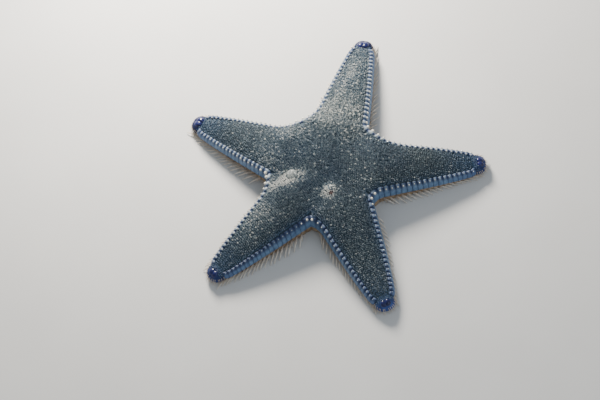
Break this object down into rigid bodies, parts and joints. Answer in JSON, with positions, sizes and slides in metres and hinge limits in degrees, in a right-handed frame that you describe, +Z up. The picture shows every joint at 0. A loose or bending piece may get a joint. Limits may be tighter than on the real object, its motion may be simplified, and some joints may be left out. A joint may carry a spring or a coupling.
{
  "type": "sand star (comb starfish)",
  "caption": "Life-size still starfish with tapering arms, a granular grey back, a beaded rim of plates, side spines and blue arm tips.",
  "frame": {"origin": "middle of the footprint, on the floor that the mouth side rests on", "axes": "+Z up out of the back, +X towards the arm on the right, +Y towards the far arm"},
  "size_m": [0.0823, 0.0856, 0.0093],
  "materials": {
    "skin": "wet satin, granular",
    "end_plates": "wet gloss",
    "sieve_plate": "satin, finely grooved"
  },
  "bodies": {
    "root": {"disc": "skin", "arm_right": "skin", "arm_far": "skin", "arm_left": "skin", "arm_near_left": "skin", "arm_near_right": "skin", "tip_right": "end_plates", "tip_far": "end_plates", "tip_left": "end_plates", "tip_near_left": "end_plates", "tip_near_right": "end_plates", "sieve_plate": "sieve_plate"}
  },
  "joints": []
}
